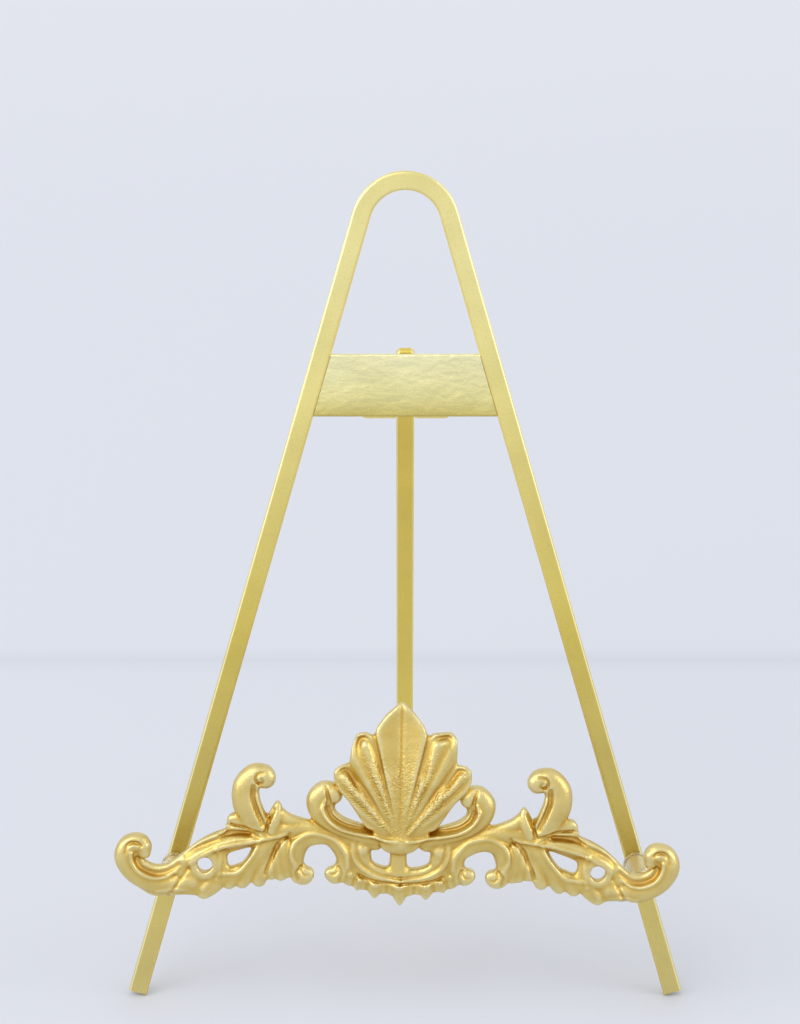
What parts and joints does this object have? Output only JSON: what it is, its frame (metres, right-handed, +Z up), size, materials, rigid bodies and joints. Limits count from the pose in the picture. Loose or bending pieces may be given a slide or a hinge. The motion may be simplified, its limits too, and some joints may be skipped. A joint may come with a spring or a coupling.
{
  "type": "display easel",
  "caption": "Folding tabletop display easel: bent-bar A-frame on one hinged rear leg, with sleeved ledge arms and a pierced scroll-and-shell front lip.",
  "frame": {"origin": "on the floor, in the middle of the easel's overall footprint", "axes": "+Z up, -Y towards the viewer's side that the lip is on, +X to the viewer's right"},
  "size_m": [0.183, 0.1456, 0.262],
  "materials": {
    "satin_gold_bar": "satin gold lacquer over rolled steel bar",
    "satin_gold_plate": "satin gold lacquer, faintly pebbled",
    "rivet_metal": "satin gold lacquer, slightly worn",
    "cast_gold": "glossy bright gold over cast metal, warmer in the recesses",
    "clear_vinyl": "soft clear tube"
  },
  "bodies": {
    "stand": {"front_frame": "satin_gold_bar", "back_plate": "satin_gold_plate", "hinge_bracket_left": "satin_gold_bar", "hinge_bracket_right": "satin_gold_bar", "hinge_rivet": "rivet_metal", "ledge_arm_left": "satin_gold_bar", "ledge_arm_right": "satin_gold_bar", "arm_sleeve_left": "clear_vinyl", "arm_sleeve_right": "clear_vinyl", "ornament_casting": "cast_gold"},
    "leg": {"rear_leg": "satin_gold_bar", "hinge_knuckle": "satin_gold_bar"}
  },
  "joints": [
    {"name": "rear_leg_fold", "type": "hinge", "parent": "stand", "child": "leg", "pos_m": [0, -0.00167, 0.19127], "axis": [1, 0, 0], "range_deg": [-44, 0]}
  ]
}
